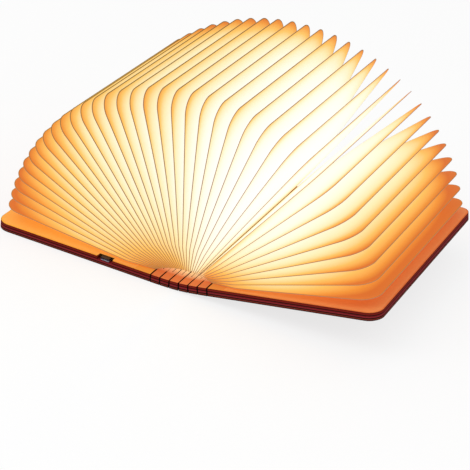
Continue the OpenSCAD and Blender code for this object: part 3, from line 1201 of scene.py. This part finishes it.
@dataclass
class PaperFan:
    """The fan of paper leaves between the covers."""

    sizes: LampSizes
    layout: Layout
    rows: int = 30
    corner_rows: int = 10
    columns: int = 15
    crease_angle: float = 40.0
    tone_spread: float = 0.05
    lit_share: float = 0.36
    seed: int = 11
    # Warmth towards the tip of the middle leaf, and what the left and right leaves add to it
    middle_warmth: float = 0.1
    left_warmth: float = 0.52
    right_warmth: float = 0.7
    # Warmth beside the root of the middle leaf, and what the outermost leaves add to it
    root_warmth: float = 0.5
    outer_root_warmth: float = 0.4
    end_warmth: float = 0.55
    # The leaves right of the middle show the side that faces the light
    faced_share: float = 0.68
    faced_spread: float = 0.13
    faced_root: float = 0.35
    faced_end: float = 0.3

    def build(self) -> None:
        """Makes one piece for each leaf."""
        sizes = self.sizes
        material = GlowingPaper(sizes).material()
        tree = self.leaf_tree()
        chance = random.Random(self.seed)
        for leaf in range(1, sizes.leaf_count + 1):
            warmth = self.warmth(leaf)
            warmth.x += chance.uniform(-self.tone_spread, self.tone_spread)
            piece = grown(f"leaf_{leaf}_paper", tree, {
                "Width": sizes.leaf_w + sizes.leaf_grow * self.layout.hump(leaf),
                "Half Length": sizes.leaf_len / 2,
                "Root Half Length": sizes.leaf_len / 2 - sizes.root_inset,
                "Taper": sizes.root_taper,
                "Corner Radius": sizes.leaf_r,
                "Thickness": sizes.leaf_t,
                "Warmth": tuple(warmth),
                "Seam Glow": self.seam_glow(leaf),
                "Material": material,
            })
            piece.data.transform(self.layout.leaf_place(leaf))
            piece.data.polygons.foreach_set("use_smooth", [True] * len(piece.data.polygons))
            piece.data.set_sharp_from_angle(angle=math.radians(self.crease_angle))
            stand_for(piece, f"leaf_{leaf}", f"leaf_{leaf}")

    def warmth(self, leaf: int) -> Vector:
        """How orange the light through one leaf is.

        Args:
            leaf: Number of the leaf, from 1.

        Returns:
            Warmth that grows towards the tip, warmth beside the root, and warmth at the ends.
        """
        share = self.layout.leaf_share(leaf)
        outward = 1 - self.layout.hump(leaf)
        left = self.left_warmth * outward
        right = self.right_warmth * outward ** 2
        body = self.middle_warmth + (left if share < 0.5 else right)
        faced = math.exp(-((share - self.faced_share) / self.faced_spread) ** 2)
        root = self.root_warmth + self.outer_root_warmth * abs(1 - 2 * share)
        root -= self.faced_root * faced
        return Vector((body, root, self.end_warmth - self.faced_end * faced))

    def seam_glow(self, leaf: int) -> float:
        """How much light comes through a leaf's seam: most at the ends of the fan."""
        share = self.layout.leaf_share(leaf)
        return max(0.0, 1 - min(share, 1 - share) / self.lit_share)

    def leaf_tree(self) -> Tree:
        """Builds the geometry nodes of a leaf: a slanting root, straight ends, round corners."""
        tree = new_shape_tree("leaf", (
            "Width", "Half Length", "Root Half Length", "Taper", "Corner Radius", "Thickness",
            "Seam Glow",
        ), ("Warmth",))
        given = add_node(tree, "NodeGroupInput").outputs
        grid = add_node(tree, "GeometryNodeMeshGrid", 1.0, 2.0, self.rows + self.corner_rows,
                        self.columns)
        here = add_node(tree, "ShaderNodeSeparateXYZ", add_node(tree, "GeometryNodeInputPosition"))
        share = maths(tree, "ADD", here.outputs["X"], 0.5)
        # Rows before the corner are evenly spaced, those on the corner evenly turned
        bend = self.rows / (self.rows + self.corner_rows)
        flat = mapped(tree, share, 0.0, bend)
        turn = mapped(tree, share, bend, 1.0, 0.0, math.pi / 2)
        radius = given["Corner Radius"]
        straight = maths(tree, "SUBTRACT", given["Width"], radius)
        even = maths(tree, "MULTIPLY", flat, straight)
        sine = maths(tree, "SINE", turn)
        across = maths(tree, "MULTIPLY_ADD", sine, radius, even)
        cosine = maths(tree, "COSINE", turn)
        back = maths(tree, "SUBTRACT", 1.0, cosine)
        back = maths(tree, "MULTIPLY", back, radius)
        slant = mapped(tree, across, 0.0, given["Taper"], given["Root Half Length"],
                       given["Half Length"])
        reach = maths(tree, "SUBTRACT", slant, back)
        along = maths(tree, "MULTIPLY", here.outputs["Y"], reach)
        half = maths(tree, "MULTIPLY", given["Thickness"], -0.5)
        place = add_node(tree, "ShaderNodeCombineXYZ", across, along, half)
        sheet = add_node(tree, "GeometryNodeSetPosition", grid.outputs["Mesh"], None, place)
        shape, wall = thickened(tree, sheet, given["Thickness"])
        flat_place = add_node(tree, "ShaderNodeSeparateXYZ",
                              add_node(tree, "GeometryNodeInputPosition")).outputs
        own = add_node(tree, "ShaderNodeCombineXYZ", flat_place["X"], flat_place["Y"],
                       given["Width"])
        for attribute, value, kind, domain in (
            (LEAF_PLACE, own, "FLOAT_VECTOR", "POINT"),
            (LEAF_WARMTH, given["Warmth"], "FLOAT_VECTOR", "POINT"),
            (LEAF_WALL, wall, "FLOAT", "FACE"),
            (LEAF_SEAM_GLOW, given["Seam Glow"], "FLOAT", "POINT"),
        ):
            shape = add_node(tree, "GeometryNodeStoreNamedAttribute", shape, None, attribute,
                             value, data_type=kind, domain=domain)
        finish_shape(tree, shape, given["Material"])
        return tree


@dataclass
class Electronics:
    """The battery, circuit board, charging socket, switch and light board in the left cover."""

    def build(self) -> None:
        """Dresses the CAD nodes."""
        dress_node("battery", POUCH_FOIL.material())
        dress_node("magnetic_switch", MOULDED_EPOXY.material())
        for node, finish in (
            ("circuit_board", COATED_BOARD), ("usb_socket", SOCKET_STEEL_PAINTED_GLINT_AND_SHADE),
            ("light_board", LIT_BOARD),
        ):
            dress_node(node, finish.material(node))


@dataclass
class Studio:
    """Pale floor, soft light and the camera at the photograph's place."""

    azimuth: float = 22.48
    elevation: float = 28.50
    roll: float = 7.27
    distance: float = 1575.11 * MM
    focal_pixels: float = 1859.7
    # Point that the camera aims at, and how far it is then slid to the right and up
    centre: tuple[float, float, float] = (0.947 * MM, 0.0, 0.0)
    slide: tuple[float, float] = (-0.78 * MM, 3.43 * MM)
    floor_size: float = 8.0
    world_strength: float = 0.75
    # Share of plain white in the floor that the camera sees. The rest keeps the shadow
    white_share: float = 0.75
    # Power in watts, size and place in metres of the two lamps
    key: tuple[float, float, tuple[float, float, float]] = (9.0, 1.3, (-0.9, -1.1, 1.6))
    fill: tuple[float, float, tuple[float, float, float]] = (4.0, 1.5, (1.5, -0.6, 1.1))

    def build(self) -> None:
        """Makes the camera, the floor, the lamps and the world."""
        self.camera()
        self.floor()
        self.world()
        self.lamp("key", *self.key)
        self.lamp("fill", *self.fill)
        bpy.context.scene.view_settings.view_transform = "Standard"

    def camera(self) -> None:
        """Puts the camera where the photograph was taken from, with its small roll."""
        turn = math.radians(self.azimuth)
        rise = math.radians(self.elevation)
        roll = math.radians(self.roll)
        back = Vector((math.sin(turn) * math.cos(rise), -math.cos(turn) * math.cos(rise),
                       math.sin(rise)))
        level = Vector((math.cos(turn), math.sin(turn), 0))
        upright = back.cross(level)
        right = level * math.cos(roll) + upright * math.sin(roll)
        up = upright * math.cos(roll) - level * math.sin(roll)
        place = Vector(self.centre) + back * self.distance
        place += right * self.slide[0] + up * self.slide[1]
        lens = bpy.data.cameras.new("photo_camera")
        lens.sensor_width = SENSOR_WIDTH
        lens.lens = self.focal_pixels * SENSOR_WIDTH / PHOTO_PIXELS
        camera = bpy.data.objects.new("photo_camera", lens)
        bpy.context.scene.collection.objects.link(camera)
        turned = Matrix((right, up, back)).transposed().to_4x4()
        camera.matrix_world = Matrix.Translation(place) @ turned
        bpy.context.scene.camera = camera

    def floor(self) -> None:
        """Makes a wide pale floor that keeps the lamp's shadow."""
        half = self.floor_size / 2
        mesh = bpy.data.meshes.new("floor")
        corners = [(-half, -half, 0), (half, -half, 0), (half, half, 0), (-half, half, 0)]
        mesh.from_pydata(corners, [], [(0, 1, 2, 3)])
        made, tree = new_material("studio_floor_painted")
        plain = add_node(tree, "ShaderNodeBsdfDiffuse", linear(WHITE))
        white = add_node(tree, "ShaderNodeEmission", linear(WHITE), 1.0)
        seen = self.seen_directly(tree)
        share = maths(tree, "MULTIPLY", seen, self.white_share)
        finish_material(tree, add_node(tree, "ShaderNodeMixShader", share, plain, white))
        mesh.materials.append(made)
        mesh_object("floor", mesh)

    def seen_directly(self, tree: Tree) -> Node:
        """Finds rays from the camera, from gloss and through glass.

        Args:
            tree: Tree that the nodes go into.

        Returns:
            A node that is 1 for such rays.
        """
        rays = add_node(tree, "ShaderNodeLightPath").outputs
        either = maths(tree, "MAXIMUM", rays["Is Camera Ray"], rays["Is Glossy Ray"])
        return maths(tree, "MAXIMUM", either, rays["Is Transmission Ray"])

    def world(self) -> None:
        """Makes an even world that shows as white behind the lamp."""
        world = bpy.data.worlds.new("studio")
        world.use_nodes = True
        tree = world.node_tree
        tree.nodes.clear()
        soft = add_node(tree, "ShaderNodeBackground", linear(WHITE), self.world_strength)
        white = add_node(tree, "ShaderNodeBackground", linear(WHITE), 1.0)
        mix = add_node(tree, "ShaderNodeMixShader", self.seen_directly(tree), soft, white)
        add_node(tree, "ShaderNodeOutputWorld", mix)
        bpy.context.scene.world = world

    def lamp(self, name: str, power: float, size: float, place: Sequence[float]) -> None:
        """Adds a soft square lamp that points at the object.

        Args:
            name: Name of the lamp.
            power: Power in watts.
            size: Side of its square in metres.
            place: Where it hangs.
        """
        data = bpy.data.lights.new(name, "AREA")
        data.energy = power
        data.size = size
        lamp = bpy.data.objects.new(name, data)
        bpy.context.scene.collection.objects.link(lamp)
        lamp.location = place
        lamp.rotation_euler = Vector(place).to_track_quat("Z", "Y").to_euler()


def main() -> None:
    """Builds the studio and every sub-assembly in order."""
    logging.basicConfig(level=logging.INFO, format="%(message)s")
    sizes = LampSizes()
    layout = Layout(sizes)
    Studio().build()
    for assembly in (Covers(sizes, layout), Spine(sizes, layout), PaperFan(sizes, layout),
                     Electronics()):
        assembly.build()


if __name__ == "__main__":
    main()
